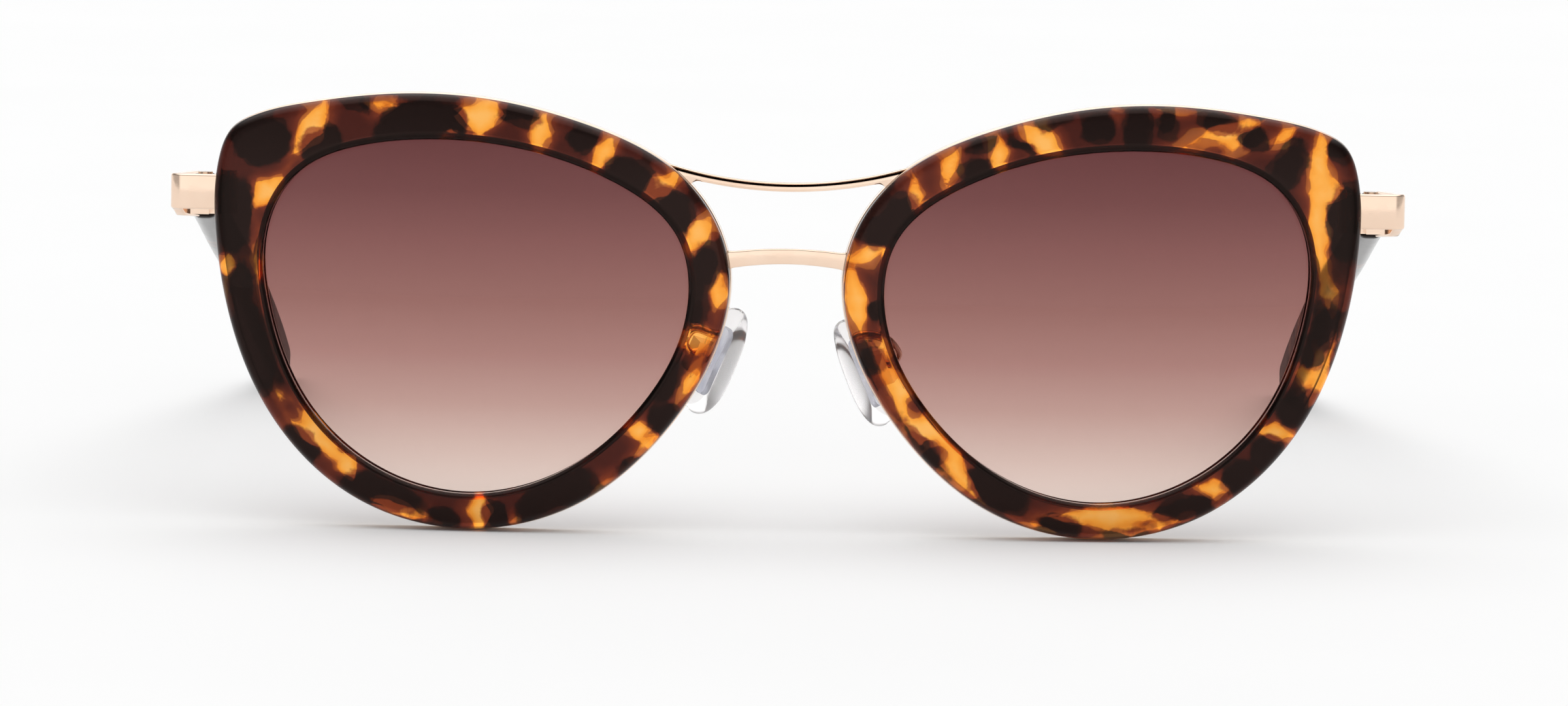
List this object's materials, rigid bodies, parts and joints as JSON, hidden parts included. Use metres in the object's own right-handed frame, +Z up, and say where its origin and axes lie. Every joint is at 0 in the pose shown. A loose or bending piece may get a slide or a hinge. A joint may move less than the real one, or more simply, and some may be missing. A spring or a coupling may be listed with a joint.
{
  "type": "cat eye sunglasses",
  "caption": "Cat eye sunglasses with thick tortoiseshell acetate rims in slim metal eyewires, a double metal bridge, gradient lenses, clear nose pads and folding temples.",
  "frame": {"origin": "middle of the bounding box, at the height of the surface that the rims and temple tips stand on", "axes": "+Z up, +X to the wearer's left, +Y backwards towards the ears"},
  "size_m": [0.1444, 0.1416, 0.0509],
  "materials": {
    "tortoise_acetate": "polished tortoiseshell, amber to near black",
    "temple_acetate": "polished dark tortoiseshell",
    "brown_gradient_lens": "brown, darker at the top",
    "rose_gold": "polished pale rose gold plate",
    "core_metal": "drawn wire",
    "screw_metal": "turned, slotted heads",
    "clear_silicone": "clear, soft gloss",
    "insert_plastic": "clear blue grey"
  },
  "bodies": {
    "front": {"acetate_rim_left": "tortoise_acetate", "acetate_rim_right": "tortoise_acetate", "lens_left": "brown_gradient_lens", "lens_right": "brown_gradient_lens", "eyewire_left": "rose_gold", "eyewire_right": "rose_gold", "end_piece_left": "rose_gold", "end_piece_right": "rose_gold", "lock_block_upper_left": "rose_gold", "lock_block_upper_right": "rose_gold", "lock_block_lower_left": "rose_gold", "lock_block_lower_right": "rose_gold", "hinge_front_left": "rose_gold", "hinge_front_right": "rose_gold", "pad_box_left": "rose_gold", "pad_box_right": "rose_gold", "pad_arm_left": "rose_gold", "pad_arm_right": "rose_gold", "lower_bridge": "rose_gold", "brow_bar": "rose_gold", "lock_screws": "screw_metal", "hinge_screws": "screw_metal", "pad_screws": "screw_metal"},
    "temple_left": {"hinge_temple_left": "rose_gold", "temple_core_left": "core_metal", "temple_left": "temple_acetate", "temple_rivets_left": "rose_gold"},
    "temple_right": {"hinge_temple_right": "rose_gold", "temple_core_right": "core_metal", "temple_right": "temple_acetate", "temple_rivets_right": "rose_gold"},
    "pad_left": {"nose_pad_left": "clear_silicone", "pad_insert_left": "insert_plastic"},
    "pad_right": {"nose_pad_right": "clear_silicone", "pad_insert_right": "insert_plastic"}
  },
  "joints": [
    {"name": "temple_left_fold", "type": "hinge", "parent": "front", "child": "temple_left", "pos_m": [0.0656, -0.05512, 0.03764], "axis": [0, 0.0422, 0.9991], "range_deg": [0, 90]},
    {"name": "temple_right_fold", "type": "hinge", "parent": "front", "child": "temple_right", "pos_m": [-0.0656, -0.05512, 0.03764], "axis": [0, -0.0422, -0.9991], "range_deg": [0, 85]},
    {"name": "pad_left_rock", "type": "hinge", "parent": "front", "child": "pad_left", "pos_m": [0.01133, -0.06078, 0.0191], "axis": [0.2483, 0.946, 0.2086], "range_deg": [-8, 8]},
    {"name": "pad_right_rock", "type": "hinge", "parent": "front", "child": "pad_right", "pos_m": [-0.01014, -0.06101, 0.02013], "axis": [0.3546, -0.9013, -0.2487], "range_deg": [-8, 8]}
  ]
}
